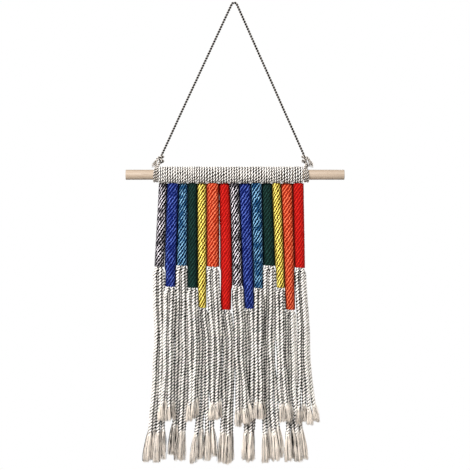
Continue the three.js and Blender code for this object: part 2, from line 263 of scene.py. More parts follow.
def rope_section(plies):
    """Angles and distances of a ring of points from a groove on, and how high each point is."""
    place = np.arange(plies * PLY_POINTS) / PLY_POINTS
    from_crown = (place % 1 - 0.5) * 2 * math.pi / plies
    out = 1 - PLY
    far = out * np.cos(from_crown) + np.sqrt(PLY**2 - (out * np.sin(from_crown)) ** 2)
    return place * 2 * math.pi / plies, far, (far - far.min()) / (far.max() - far.min())


def add_rope(
    skein, route, radius, lay, side=(1, 0, 0), turn=0.0, tint=0.5, groove=1.0, open_to=None, plies=3
):
    """radius: one number, a half-width to the side and one across, or either for every point.

    groove: how dark the painted shade in the grooves is. open_to: the directions in which nothing
    stands close by; the flanks that face none of them get painted shade.
    """
    angle, far, height = rope_section(plies)
    along = lengths_along(route)
    across, other = sides_along(route, side)
    turned = angle[None, :] + turn + 2 * math.pi * along[:, None] / lay
    half = np.broadcast_to(radius, (len(route), 2))
    across, other = across[:, None, :], other[:, None, :]
    cosine, sine = np.cos(turned), np.sin(turned)
    rings = (
        route[:, None, :]
        + across * (far * cosine * half[:, :1])[:, :, None]
        + other * (far * sine * half[:, 1:])[:, :, None]
    )
    # Painted shade: lower in the grooves, and on the flanks that face none of the open sides.
    shade = 1 - groove * (1 - height)
    if open_to is not None:
        outward = across * cosine[:, :, None] + other * sine[:, :, None]
        ways = [np.broadcast_to(way, route.shape)[:, None, :] for way in open_to]
        faced = np.max([np.sum(outward * way, axis=2) for way in ways], axis=0)
        shade = shade * mix(FLANK_SHADE, 1.0, ease((faced - FLANK) / FLANK_FADE))
    around = np.append(angle, 2 * math.pi) * np.mean(half)
    skein.add_tube(rings, along, around, shade, tint)


# %% [markdown]
# ## The hanging cord
# The cord is thin and limp, and the weight of the hanging pulls it straight. It shows from end to
# end, so its length is what lies between its two knots. It bends sharply over the hook. Its route is
# a list of points, the same as the solid's, and the twisted section is swept along it.

# %% The cord from knot to knot
HANGER_ROUTE = [
    (-87.2, -181.4), (-78.7, -163), (-70.9, -146), (-63.1, -129), (-55.2, -112), (-47.2, -95),
    (-39.3, -78), (-31.4, -61), (-23.5, -44), (-15.6, -27), (-8.6, -12),
    (-3.1, -0.4), (-2.1, 0.9), (0, 1.6), (2.1, 0.9), (3.1, -0.4),
    (8.3, -12), (15.0, -27), (22.5, -44), (30.1, -61), (37.7, -78),
    (45.3, -95), (52.8, -112), (60.3, -129), (67.9, -146), (75.5, -163), (83.6, -181.4),
]  # fmt: skip
HANGER_R = 1.6
HANGER_LAY = 6.4
HANGER_PLIES = 2
HANGER_STEP = 0.8

hanger_route = curve_through([(x, 0, z) for x, z in HANGER_ROUTE], HANGER_STEP)
skein = Skein()
add_rope(skein, hanger_route, HANGER_R, HANGER_LAY, side=(0, 1, 0), tint=0.1, plies=HANGER_PLIES)
hanging_cord = skein.make("hanging_rope")
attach(hanging_cord, BODY)
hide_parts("hanging_cord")

# %% [markdown]
# ## The end knots
# At each end the cord goes twice round the dowel, crosses over itself in two half hitches and ends in
# a short tail that has come undone. A lump would look like putty, so the knot is tied for real: one
# rope whose route goes round the dowel and then round its own standing part. One list of points
# serves both: the left knot is mirrored, and the turns are moved a little along the dowel.

# %% Fibres of a cord that has come undone
FIBRE_STEPS = 6
CRIMP = 0.5  # how far a fibre wanders, because it keeps the waves of the twist


def add_fibres(skein, rng, roots, tips, thick, tones, shades):
    """A thin three-sided tube from each root to each tip."""
    count = len(roots)
    t = np.linspace(0, 1, FIBRE_STEPS + 1)[None, :, None]
    # The fibres leave the cord steeply and then hang side by side.
    spread = 1 - (1 - t) ** 1.8
    route = roots[:, None, :] * (1 - t) + tips[:, None, :] * t
    route[..., :2] = mix(roots[:, None, :2], tips[:, None, :2], spread)
    phase = rng.uniform(0, 2 * math.pi, (count, 1, 2))
    pace = rng.uniform(5.0, 11.0, (count, 1, 2))
    size = CRIMP * rng.uniform(0.3, 1.0, (count, 1, 2)) * np.sqrt(t)
    route[..., :2] += size * (np.sin(pace * t + phase) - np.sin(phase))
    turn = rng.uniform(0, 2 * math.pi, (count, 1, 1))
    angle = turn + np.arange(3)[None, None, :] * 2 * math.pi / 3
    radius = thick * rng.uniform(0.7, 1.2, (count, 1, 1)) * (1 - 0.45 * t**3) / 2
    rings = np.repeat(route[:, :, None, :], 3, axis=2)
    rings[..., 0] += radius * np.cos(angle)
    rings[..., 1] += radius * np.sin(angle)
    length = np.linalg.norm(tips - roots, axis=1)
    around = np.arange(4) * thick
    for k in range(count):
        skein.add_tube(rings[k], t[0, :, 0] * length[k], around, shades[k], tones[k], combed=1.0)


# %% Tie a knot at each end of the cord
KNOT_STEP = 0.8
LOOPS = [  # x away from the standing part, y and z from the dowel's middle
    (4.6, -5.6, 7.4), (4.8, -7.9, 0), (5.0, -5.6, -5.6), (5.2, 0, -7.9), (5.5, 5.6, -5.6),
    (5.8, 7.9, 0), (6.1, 5.6, 5.6), (6.6, 0, 7.9), (7.4, -5.6, 5.6), (8.1, -7.9, 0),
    (8.3, -5.6, -5.6), (8.3, 0, -7.9), (8.1, 5.6, -5.6), (7.6, 7.9, 0), (6.6, 5.9, 6.0),
]  # fmt: skip
HITCHES = [
    (4.6, 4.6, 11.6), (1.4, 3.6, 14.6), (-1.6, 1.0, 16.0), (-1.2, -2.6, 17.2), (2.4, -3.6, 18.0),
    (4.8, -0.6, 18.8), (2.4, 2.8, 20.2), (-1.4, 1.6, 21.2), (-1.6, -1.8, 21.8), (1.6, -3.6, 21.4),
    (4.8, -2.6, 19.4), (6.6, -1.6, 16.4),
]  # fmt: skip
STANDING = [(0.0, 0.0, 23.4), (1.2, 0.2, 19.0), (3.0, -1.2, 13.5)]
TAIL_AWAY = np.array([2.6, -0.4, -7.5])
TAIL_FIBRES = 70
TAIL_THICK = 0.32
KNOTS = {
    "left": {"foot": -87.2, "outward": -1, "loops_out": 0.4},
    "right": {"foot": 83.6, "outward": 1, "loops_out": -3.9},
}


def tie_knot(side, foot, outward, loops_out):
    rng = np.random.default_rng(outward + 1)
    skein = Skein()
    loops = [(x + loops_out, y, z) for x, y, z in LOOPS]
    points = [(foot + outward * x, y, DOWEL_Z + z) for x, y, z in STANDING + loops + HITCHES]
    route = curve_through(points, KNOT_STEP)
    add_rope(skein, route, HANGER_R, HANGER_LAY, side=(0, 1, 0), tint=0.8, plies=HANGER_PLIES)
    away = TAIL_AWAY * (outward, 1, 1)
    angle = rng.uniform(0, 2 * math.pi, TAIL_FIBRES)
    out = np.sqrt(rng.uniform(0, 1, TAIL_FIBRES))
    lift = 0.2 * rng.normal(size=TAIL_FIBRES)
    disc = np.stack([out * np.cos(angle), out * np.sin(angle), lift], axis=1)
    roots = route[-2] + disc * HANGER_R
    tips = route[-1] + away * rng.uniform(0.55, 1.1, (TAIL_FIBRES, 1)) + disc * (3.0, 2.0, 1.0)
    tones, shades = rng.uniform(0.85, 1.0, TAIL_FIBRES), rng.uniform(0.4, 1.0, TAIL_FIBRES)
    add_fibres(skein, rng, roots, tips, TAIL_THICK, tones, shades)
    knot = skein.make(f"tied_knot_{side}")
    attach(knot, BODY)
    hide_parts(f"cord_knot_{side}")
    return knot


end_knots = [tie_knot(side, **place) for side, place in KNOTS.items()]

# %% [markdown]
# ## The strands
# Each column has four strands. They leave the yarn close together, fill out to their full girth below
# it, part into a front and a back layer, and hang down to their own tips. Where the wrap beside them
# is longer, they are squeezed against it. The route of each is worked out from the column's row in
# the table, as in the solids, and a slow sway keeps them from looking ruled. Above its tip the cord
# is combed out: the twisted part ends, and loose fibres go on from it in a few soft locks that open
# like a brush.

# %% Where a strand hangs
ROOT_LIFT = 7.0  # how far the strands reach up into the yarn
ROOT_LONG = 8.0  # below the yarn, the way in which they fill out to their full girth
ROOT_SPREAD = 2.6  # and how far the outer ones move apart there
PRESSED_IN = 0.9  # beside a longer wrap they are squeezed by this much
SWAY = 0.55
SWAY_LONG = (50, 130)  # the shortest and the longest wave of it
SWAY_BEGINS = 90.0  # the way in which it grows to its full size


def wrap_middle(column, t):
    return mix(column["top_x"], column["low_x"], t) + column["bow"] * 4 * t * (1 - t)


def wrap_edge(column, down, side):
    """Where a wrap's left or right edge is, so far down from its top."""
    t = down / (WRAP_TOP - column["low_z"])
    return wrap_middle(column, t) + side * mix(column["top_wide"], column["low_wide"], t) / 2


def root_reach(column, side):
    """How far the outer strands move to one side below the yarn, up to a longer wrap there."""
    reach = bundle_half(column)[0] + ROOT_SPREAD
    beside = neighbour(column, side)
    if beside and beside["low_z"] < column["low_z"] - ROOT_LONG:
        down = WRAP_TOP - column["low_z"] + ROOT_LONG
        away = side * (wrap_edge(beside, down, -side) - column["low_x"])
        reach = min(reach, away - CORD_R + PRESSED_IN)
    return side * reach


def strand_tip(column, i):
    return mix(column["tip_left_z"], column["tip_right_z"], i / 3) + (i % 2) * BACK_SHORTER


def strand_place(column, i, z):
    """The middle of strand i of a column at each of the heights z."""
    z = np.asarray(z, dtype=float)
    root_z = column["low_z"]
    fallen = (root_z - z) / (root_z - MID_Z)
    packed = (-1 if i < 2 else 1) * bundle_half(column)[0]
    loose = mix(root_reach(column, -1), root_reach(column, 1), i / 3)
    root_x = column["low_x"] + mix(packed, loose, ease((root_z - z) / ROOT_LONG))
    mid_x = column["mid_x"] + column["step"] * i
    tip_x = mix(column["tip_left"], column["tip_right"], i / 3)
    lower = np.maximum(0, (MID_Z - z) / (MID_Z - strand_tip(column, i)))
    x = mix(root_x, mid_x, ease(fallen)) + (tip_x - mid_x) * lower**1.5
    tier, layer = column["tier"], 1 if i % 2 else -1
    root_y = tier["bundle_y"] + layer * bundle_half(column)[1]
    y = mix(root_y, tier["middle_y"] + layer * LAYER_Y, ease(fallen * TIER_HASTE))
    return np.stack([x, y, z], axis=-1)


def bundle_half(column):
    """How far the strands in the yarn are from the bundle's middle, to the side and to the back."""
    return (column["low_wide"] / 2 - WRAP_YARN) * 0.5, (WRAP_DEEP / 2 - WRAP_YARN) * 0.5


def sway(rng, z):
    """A slow, small wandering of a strand, the more the lower it hangs."""
    drift = np.zeros((len(z), 3))
    fallen = ease((z[0] - z) / SWAY_BEGINS)
    for k, size in ((0, SWAY), (1, SWAY * 0.6)):
        waves = rng.uniform(*SWAY_LONG, 2)
        phases = rng.uniform(0, 2 * math.pi, 2)
        swing = sum(np.sin(2 * math.pi * z / wave + phase) for wave, phase in zip(waves, phases))
        drift[:, k] = size * fallen * swing / 1.5
    return drift


def open_sides(column, i):
    """Strands are open to the front and the back, and the outermost of each tier also sideways."""
    ways = [(0, -1, 0), (0, 1, 0)]
    if column in COLUMNS[:2] and i < 2:
        ways.append((-1, 0, 0))
    if column in COLUMNS[-2:] and i > 1:
        ways.append((1, 0, 0))
    return ways


# %% A strand with its combed end
CORD_LAY = 10.8
CORD_STEP = 1.35
COMBED_LAP = 5.0  # the twisted part reaches this far into the brush
LOCKS = 5  # a combed end parts into soft locks
LOCK_OUT = 0.55  # where the middle of a lock is, and
LOCK_WIDE = 0.45  # how wide the lock is, as shares of the brush's radius
FIBRES = 95
FIBRE_THICK = 0.6
LOCK_RIM = 0.75  # how much the outer fibres of a lock are in the shade of the gaps
# How dark the painted shade in a strand's grooves is.
STRAND_GROOVE_SHADE = 0.74


def add_strand(skein, rng, column, i):
    combed_z = strand_tip(column, i) + column["tier"]["fray"]
    top_z = column["low_z"] + ROOT_LIFT
    z = np.linspace(top_z, combed_z - COMBED_LAP, round((top_z - combed_z) / CORD_STEP))
    route = strand_place(column, i, z)
    drift = sway(rng, z)
    route += drift
    root_r = min(bundle_half(column))
    filled = ease((column["low_z"] - z) / ROOT_LONG)
    loosened = 1 - 0.25 * ease((combed_z + 4 - z) / 10)
    radius = mix(root_r, CORD_R, filled) * loosened
    lay = CORD_LAY * rng.uniform(0.93, 1.08)
    turn, tint = rng.uniform(0, 2 * math.pi), rng.uniform(0.2, 0.8)
    look = {"turn": turn, "tint": tint, "groove": STRAND_GROOVE_SHADE, "open_to": open_sides(column, i)}
    add_rope(skein, route, radius[:, None], lay, **look)
    comb_out(skein, rng, column, i, combed_z, aside=drift[-1] * (1, 1, 0))


def comb_out(skein, rng, column, i, combed_z, aside):
    """The brush of loose fibres at the end of a strand, from combed_z down to the tip."""
    lock = rng.integers(0, LOCKS, FIBRES)
    centre_angle = (np.arange(LOCKS) + rng.uniform(-0.3, 0.3, LOCKS)) * 2 * math.pi / LOCKS
    centres = LOCK_OUT * np.stack([np.cos(centre_angle), np.sin(centre_angle)], axis=1)
    angle = rng.uniform(0, 2 * math.pi, FIBRES)
    out = np.sqrt(rng.uniform(0.02, 1, FIBRES))
    loose = np.stack([out * np.cos(angle), out * np.sin(angle)], axis=1)
    disc = centres[lock] + LOCK_WIDE * loose
    lift = rng.uniform(-4, 3, FIBRES)
    roots = strand_place(column, i, combed_z + lift) + aside
    roots[:, :2] += disc * CORD_R * 0.95
    ends = strand_tip(column, i) + rng.uniform(0, 2.4, LOCKS)[lock]
    ends = ends + np.abs(rng.normal(0, 1.1, FIBRES)) + 1.6 * out**3 - 0.6
    ends += np.where(rng.uniform(size=FIBRES) < 0.1, rng.uniform(2, 9, FIBRES), 0)
    tips = strand_place(column, i, ends) + aside
    brush = column["tier"]["brush"]
    tips[:, 0] += disc[:, 0] * brush * rng.uniform(0.85, 1.15, FIBRES)
    tips[:, 1] += disc[:, 1] * brush * 0.85 * rng.uniform(0.85, 1.15, FIBRES)
    tones = rng.uniform(0.3, 1.0, LOCKS)[lock]
    shades = np.clip(1.05 - LOCK_RIM * out**2 + rng.normal(0, 0.12, FIBRES), 0.0, 1.0)
    add_fibres(skein, rng, roots, tips, FIBRE_THICK, tones, shades)


# %% [markdown]
# ## The mounting knots
# Two cords are folded together and laid over the dowel as a lark's head whose bar is at the back.
# From the front only four upright turns show. Each cord is one route: it comes up out of the bundle
# behind the dowel, goes over the top, down the front and under, crosses behind the tails as the bar,
# and goes the same way back to the other side. The turns are pulled tight, so their section is a
# narrow oval.

# %% A folded cord over the dowel
TURN_DEEP = 2.15  # half its thickness
TURN_R = DOWEL_R + 0.2 + TURN_DEEP
FOLDS = [(0.375, -3.4), (0.125, 0.6)]  # how far out a cord's turns are, and how high its bar is
KNOT_LAY = 10.8
# How dark the painted shade in the grooves of the knots' turns is.
KNOT_GROOVE_SHADE = 0.9


def knot_edge(column, side):
    """A knot reaches almost halfway to its neighbour."""
    x, beside = column["top_x"], neighbour(column, side)
    if beside is None:
        return x + side * KNOT_END
    return (x + beside["top_x"]) / 2 - side * KNOT_GAP / 2


def fold_route(column, span, place, bar_z):
    """The left half of a folded cord, from the bundle up to the middle of the bar."""
    middle, wide = (span[0] + span[1]) / 2, span[1] - span[0]
    x = middle - place * wide
    foot_x = column["top_x"] - place * wide * 0.6
    tail_x = mix(middle, column["top_x"], 0.7) - place * wide * 0.62
    tail_y = column["tier"]["bundle_y"] + (-2.0 if place > 0.25 else 2.0)
    round_dowel = [
        (x, TURN_R * math.cos(angle), TURN_R * math.sin(angle))
        for angle in np.radians([50, 90, 130, 180, 230, 270, 305])
    ]
    points = [(foot_x, tail_y, WRAP_TOP - 9 - DOWEL_Z), (foot_x, tail_y, WRAP_TOP - 2 - DOWEL_Z)]
    points += [(tail_x, 7.4, -6.0), (mix(tail_x, x, 0.3), 8.5, 0.0), *round_dowel]
    points += [(mix(x, middle, 0.05), 9.6, bar_z - 2.6), (mix(x, middle, 0.3), 11.4, bar_z - 0.4)]
    # Up to here the heights are counted from the dowel's middle.
    return np.array([*points, (middle, 12.0, bar_z)]) + (0, 0, DOWEL_Z)


def add_mounting_knot(skein, rng, column):
    span = knot_edge(column, -1), knot_edge(column, 1)
    for place, bar_z in FOLDS:
        left = fold_route(column, span, place, bar_z)
        right = fold_route(column, span, -place, bar_z)
        right[:2, 1] = left[:2, 1]
        route = curve_through(np.vstack([left, right[-2::-1]]), KNOT_STEP)
        width = (span[1] - span[0]) / 8 * 1.05
        half = np.array([width, TURN_DEEP]) * rng.uniform(0.97, 1.04)
        lay = KNOT_LAY * rng.uniform(0.92, 1.1)
        turn = rng.uniform(0, 2 * math.pi)
        # Painted shade on the turns' flanks, where they lie close: only the side away from the dowel
        # is open.
        away = (route - (0, 0, DOWEL_Z)) * (0, 1, 1)
        away /= np.linalg.norm(away, axis=1, keepdims=True)
        tint = rng.uniform(0.5, 0.9)
        add_rope(skein, route, half, lay, turn=turn, tint=tint, groove=KNOT_GROOVE_SHADE, open_to=[away])


# %% Make the cotton of every column
def cotton_column(number):
    rng = np.random.default_rng(100 + number)
    column = COLUMNS[number]
    skein = Skein()
    add_mounting_knot(skein, rng, column)
    for i in range(4):
        add_strand(skein, rng, column, i)
    cotton = skein.make(f"cotton_{column['label']}")
    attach(cotton, BODY)
    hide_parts(f"cords_{column['label']}")
    return cotton


cotton_columns = [cotton_column(number) for number in range(len(COLUMNS))]

# %% [markdown]
# ## The wound yarn
# Yarn is wound round each bundle, turn on turn, from the knot down. It is one long thread, so the
# surface is a helix: a strip with the rounded section of the yarn that goes round and round, and
# whose lower edge is the next turn's upper edge. Hand winding is uneven, so the pitch and the pull
# change from turn to turn. Soft wraps that hang side by side lean toward each other and are pressed
# flat where they touch, and their flanks lie in each other's shade.

# %% A wrap
YARN_PITCH = 1.7
WRAP_SIDES = 28
YARN_SECTION = 4
YARN_BULGE = 0.32
MARL_LONG = 3.7  # from one light fleck of the yarn to the next
MARL_SHIFT = 0.3  # how far the flecks of a turn lie beside those of the turn above, of MARL_LONG
PRESSED_GAP = 1.3  # wraps that are closer than this are pressed against each other
PRESSED_LAP = 0.12
NEAR_GAP = 5.0  # and up to this much more they still lean toward each other
# The flanks of a wrap get painted shade: full up to WRAP_FLANK, fading out over WRAP_FLANK_FADE.
WRAP_FLANK = 0.3  # tint is 0 on the flanks up to here, and rises to 1 in front and behind
WRAP_FLANK_FADE = 0.5


def pressed_out(column, down, side):
    """How far a wrap reaches out to touch its neighbour, and how flat that makes its turns there."""
    beside = neighbour(column, side)
    if beside is None:
        return np.zeros_like(down), np.zeros_like(down)
    gap = side * (wrap_edge(beside, down, -side) - wrap_edge(column, down, side))
    along_it = ease((WRAP_TOP - beside["low_z"] - down) / 6 + 1)
    leaning = along_it * (1 - ease((gap - PRESSED_GAP) / NEAR_GAP))
    touching = along_it * ease((PRESSED_GAP - gap) / 0.5)
    return np.maximum(gap / 2 + PRESSED_LAP, 0) * leaning, touching


def wind_wrap(number):
    rng = np.random.default_rng(300 + number)
    column = COLUMNS[number]
    tall = WRAP_TOP - column["low_z"]
    turns = round(tall / YARN_PITCH)
    pitches = rng.uniform(0.82, 1.18, turns)
    edges = np.concatenate([[0.0], np.cumsum(pitches)])
    edges *= tall / edges[-1]
    pull = rng.normal(0, 0.10, turns + 1)
    pull[0] = pull[-1] = -0.1

    stops = np.arange(turns * WRAP_SIDES + 1)
    turn = stops / WRAP_SIDES
    whole = np.arange(turns + 1)
    upper, lower = np.interp(turn - 1, whole, edges), np.interp(turn, whole, edges)
    tight = np.interp(turn, whole, pull)
    share = np.arange(YARN_SECTION + 1) / YARN_SECTION
    down = mix(upper[:, None], lower[:, None], share[None, :])
    crown = np.sin(math.pi * share) ** 0.7
    out = YARN_BULGE * (crown - 1) + tight[:, None] * crown
    angle = (2 * math.pi * turn)[:, None]
    t = down / tall
    half_wide = mix(column["top_wide"], column["low_wide"], t) / 2 + out
    half_deep = WRAP_DEEP / 2 + out
    cosine = np.cos(angle)
    for side in (-1, 1):
        reach, touching = pressed_out(column, down, side)
        at_side = np.maximum(side * cosine, 0)
        half_wide += reach * at_side - out * touching * at_side**4
    x = wrap_middle(column, t) + half_wide * cosine
    y = column["tier"]["bundle_y"] + half_deep * np.sin(angle)
    strip = np.stack([x, y, WRAP_TOP - down], axis=2)

    skein = Skein()
    rows = len(stops)
    plies = round(math.pi * (column["low_wide"] + WRAP_DEEP) / 2 / MARL_LONG) + MARL_SHIFT
    # A row ends in the first point of the row one turn on, and only the last turn keeps its own.
    index = np.empty((rows, YARN_SECTION + 1), dtype=int)
    # Painted shade on the flanks where wraps touch; the outer side of the first and last wrap gets
    # none.
    clear_of_flank_shade = ease((np.abs(np.sin(angle)) - WRAP_FLANK) / WRAP_FLANK_FADE)
    for side in (-1, 1):
        if neighbour(column, side) is None:
            clear_of_flank_shade = np.where(side * cosine > 0, 1.0, clear_of_flank_shade)
    # The crown also goes in as painted shade: the edges of each turn, where the next lies against it,
    # are darker.
    first = skein.add_points(strip[:, :YARN_SECTION], crown[:YARN_SECTION], clear_of_flank_shade)
    index[:, :YARN_SECTION] = first + np.arange(rows * YARN_SECTION).reshape(rows, YARN_SECTION)
    index[:-WRAP_SIDES, YARN_SECTION] = index[WRAP_SIDES:, 0]
    rim = skein.add_points(strip[-WRAP_SIDES:, YARN_SECTION], 0.0, clear_of_flank_shade[-WRAP_SIDES:, 0])
    index[-WRAP_SIDES:, YARN_SECTION] = rim + np.arange(WRAP_SIDES)
    here, ahead = slice(None, -1), slice(1, None)
    corners = [(here, here), (here, ahead), (ahead, ahead), (ahead, here)]
    faces = np.stack([index[corner] for corner in corners], axis=2)
    skein.faces.extend(faces.reshape(-1, 4).tolist())
    along = np.broadcast_to((turn * plies * MARL_LONG)[:, None], index.shape)
    uv = np.stack([along, np.broadcast_to(share * YARN_PITCH, index.shape)], axis=-1)
    corner_uv = np.stack([uv[corner] for corner in corners], axis=2)
    skein.uvs.append(corner_uv.reshape(-1, 2) * UV_SIZE)
    close_wrap(skein, index)
    wrap = skein.make(f"yarn_{column['label']}")
    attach(wrap, BODY)
    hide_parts(f"wrap_{column['label']}")
    "yarn_" + column["yarn"]
    return wrap


def close_wrap(skein, index):
    """A plain inner wall, from the first turn's upper edge to the last turn's lower one."""
    points = np.concatenate(skein.points)
    top = index[: WRAP_SIDES + 1, 0]
    low = index[-WRAP_SIDES - 1 :, YARN_SECTION]
    inner = []
    for edge in (top, low):
        ring = points[edge]
        outward = ring[:, :2] - ring[:, :2].mean(axis=0)
        far = np.linalg.norm(outward, axis=1, keepdims=True)
        ring[:, :2] -= outward / far * WRAP_YARN
        inner.append(skein.add_points(ring, 0.0, 0.5))
    a, b = inner
    for k in range(WRAP_SIDES):
        skein.add_cap([top[k], top[k + 1], a + k + 1, a + k])
        skein.add_cap([a + k, a + k + 1, b + k + 1, b + k])
        skein.add_cap([b + k, b + k + 1, low[k + 1], low[k]])
    # The two ends of the thread are steps in the edges, and three faces fill them.
    skein.add_cap([top[0], a, a + WRAP_SIDES, top[-1]])
    skein.add_cap([low[0], low[-1], b + WRAP_SIDES, b])
    skein.add_cap([a, b, b + WRAP_SIDES, a + WRAP_SIDES])


wraps = [wind_wrap(number) for number in range(len(COLUMNS))]

# %% [markdown]
# ## The dowel
# A craft dowel is turned, sanded and sawn off square, and the sander takes the sharp edge off its
# ends. It is a cylinder, so it starts as a primitive. In edit mode a few cuts across the rod let it
# bow, the rims of both end faces are bevelled, and the faces are inset and dished a little.

# %% Turn the dowel
DOWEL_SIDES = 64
DOWEL_EDGE = 0.6
DOWEL_CUTS = 11
DOWEL_WAVER = 0.06
SAWN_RIM = 1.2  # the flat rim of a sawn end
SAWN_SLOPE = 1.6  # and inside it the slope down to the middle, which is a little lower
SAWN_DEEP = 0.12


def select_ends(rod, steep):
    """In object mode: selects only the faces that look along the rod."""
    mesh = rod.data
    for group in (mesh.vertices, mesh.edges, mesh.polygons):
        group.foreach_set("select", np.zeros(len(group), dtype=bool))
    for face in mesh.polygons:
        face.select = abs(face.normal.x) > steep


class EditMode:
    """The active object is in edit mode inside this."""

    def __enter__(self):
        bpy.ops.object.mode_set(mode="EDIT")

    def __exit__(self, *trouble):
        bpy.ops.object.mode_set(mode="OBJECT")


def turn_dowel():
    bpy.ops.object.select_all(action="DESELECT")
    bpy.ops.mesh.primitive_cylinder_add(
        vertices=DOWEL_SIDES,
        radius=DOWEL_R * MM,
        depth=(DOWEL_RIGHT - DOWEL_LEFT) * MM,
        location=((DOWEL_LEFT + DOWEL_RIGHT) / 2 * MM, 0, DOWEL_Z * MM),
        rotation=(0, math.radians(90), 0),
    )
    rod = bpy.context.active_object
    rod.name = "wooden_dowel"
    bpy.ops.object.transform_apply(location=True, rotation=True, scale=True)
    for k in range(1, DOWEL_CUTS + 1):
        x = mix(DOWEL_LEFT, DOWEL_RIGHT, k / (DOWEL_CUTS + 1)) * MM
        with EditMode():
            bpy.ops.mesh.select_all(action="SELECT")
            bpy.ops.mesh.bisect(plane_co=(x, 0, DOWEL_Z * MM), plane_no=(1, 0, 0))
    with EditMode():
        bpy.ops.mesh.select_mode(type="FACE")
    select_ends(rod, 0.9)
    with EditMode():
        bpy.ops.mesh.bevel(offset=DOWEL_EDGE * MM, segments=3, affect="EDGES")
    select_ends(rod, 0.99)
    with EditMode():
        bpy.ops.mesh.inset(thickness=SAWN_RIM * MM, depth=0.0)
        bpy.ops.mesh.inset(thickness=SAWN_SLOPE * MM, depth=-SAWN_DEEP * MM)
    rng = np.random.default_rng(7)
    bow = rng.uniform(-1, 1, (4, 3))
    for vertex in rod.data.vertices:
        along = vertex.co.x / MM / (DOWEL_RIGHT - DOWEL_LEFT) * 2 * math.pi
        waver = sum(row[0] * math.sin(along * (k + 1) + row[1] * 6) for k, row in enumerate(bow))
        vertex.co.z += DOWEL_WAVER * MM * waver
    bpy.ops.object.shade_smooth_by_angle(angle=math.radians(35))
    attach(rod, BODY)
    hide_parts("dowel")
    print("dowel:", len(rod.data.polygons), "faces")
    return rod


dowel = turn_dowel()

# %% [markdown]
# ## Shader maths
# A material is a small graph of nodes, and writing a sum as four lines of links hides what it means.
# The class below wraps the output of a node, so that 1 - mask or height * 0.4 adds the Math node by
# itself. Any other node comes from Paint.node: its type, its settings, and then its inputs.

# %% A value in a material
class Value:
    def __init__(self, paint, socket):
        self.paint, self.socket = paint, socket

    def maths(self, operation, *values):
        return self.paint.node("ShaderNodeMath", {"operation": operation}, dict(enumerate(values)))

    def __add__(self, other):
        return self.maths("ADD", self, other)

    def __sub__(self, other):
        return self.maths("SUBTRACT", self, other)

    def __rsub__(self, other):
        return self.maths("SUBTRACT", other, self)

    def __mul__(self, other):
        return self.maths("MULTIPLY", self, other)

    def __pow__(self, other):
        return self.maths("POWER", self, other)

    def sine(self):
        return self.maths("SINE", self)

    def clamped(self):
        return self.paint.node("ShaderNodeClamp", {}, {"Value": self})

    __radd__ = __add__
    __rmul__ = __mul__


class Paint:
    """A material under construction."""

    def __init__(self, name):
        self.material = bpy.data.materials.new(name)
        self.material.use_nodes = True
        self.tree = self.material.node_tree
        self.shader = self.tree.nodes["Principled BSDF"]

    def node(self, kind, settings, inputs, output=0):
        made = self.tree.nodes.new(kind)
        for key, value in settings.items():
            setattr(made, key, value)
        for key, value in inputs.items():
            self.connect(made.inputs[key], value)
        return Value(self, made.outputs[output])

    def connect(self, socket, value):
        if isinstance(value, Value):
            self.tree.links.new(value.socket, socket)
        else:
            socket.default_value = value

    def surface(self, **inputs):
        for key, value in inputs.items():
            self.connect(self.shader.inputs[key.replace("_", " ")], value)

    def position(self):
        return self.node("ShaderNodeTexCoord", {}, {}, "Object")

    def split(self, vector):
        """The three parts of a vector."""
        made = self.node("ShaderNodeSeparateXYZ", {}, {0: vector}).socket.node
        return [Value(self, socket) for socket in made.outputs]

    def along_and_around(self):
        return self.split(self.node("ShaderNodeTexCoord", {}, {}, "UV"))[:2]

    def vector(self, x, y, z=0.0):
        return self.node("ShaderNodeCombineXYZ", {}, {"X": x, "Y": y, "Z": z})

    def attribute(self, name):
        return self.node("ShaderNodeAttribute", {"attribute_name": name}, {}, "Fac")

    def noise(self, vector, scale, detail=2.0, rough=0.5):
        inputs = {"Vector": vector, "Scale": scale, "Detail": detail, "Roughness": rough}
        return self.node("ShaderNodeTexNoise", {}, inputs, "Fac")

    def spread(self, value, low, high):
        """The value's stretch from low to high as 0 to 1."""
        inputs = {"Value": value, "From Min": low, "From Max": high}
        return self.node("ShaderNodeMapRange", {}, inputs)

    def blend(self, factor, first, second):
        """A mix of two colours: the Mix node's sockets 6 and 7, with the result in its output 2."""
        return self.node("ShaderNodeMix", {"data_type": "RGBA"}, {0: factor, 6: first, 7: second}, 2)

    def bump(self, height, strength, distance):
        inputs = {"Height": height, "Strength": strength, "Distance": distance}
        return self.node("ShaderNodeBump", {}, inputs)


def screen(*tone):
    """Red, green and blue from 0 to 255, as the linear values that the nodes take."""
    parts = [value / 255 for value in tone]
    linear = [p / 12.92 if p < 0.04 else ((p + 0.055) / 1.055) ** 2.4 for p in parts]
    return (*linear, 1.0)


# %% [markdown]
# ## Cotton
# Natural cotton is a warm white. From a step away its twist shows as light crowns between lines in
# shade, and that shade is painted: the light tone turns to the dark one crisply where a groove is
# deep enough, on flanks that face a close neighbour and between the locks of a combed end, and the
# fibres fray that border. Each strand has its own tone, and the loose fibres of the combed ends have
# a creamier one. The fibres lie along the cord, not along the plies, so the bump is a noise that is
# drawn
# out along it: the UV map follows a ply, and adding the lay's turn gives the straight direction.

# %% Cotton cord
COMBED_TONE = screen(243, 232, 220)
STRAND_LOOK = {"narrow": 1.3, "tinted": 0.12, "level": 0.44, "crisp": 4.0}
HANGER_LOOK = {"narrow": 0.6, "tinted": 0.5, "level": 0.4, "crisp": 1.7}


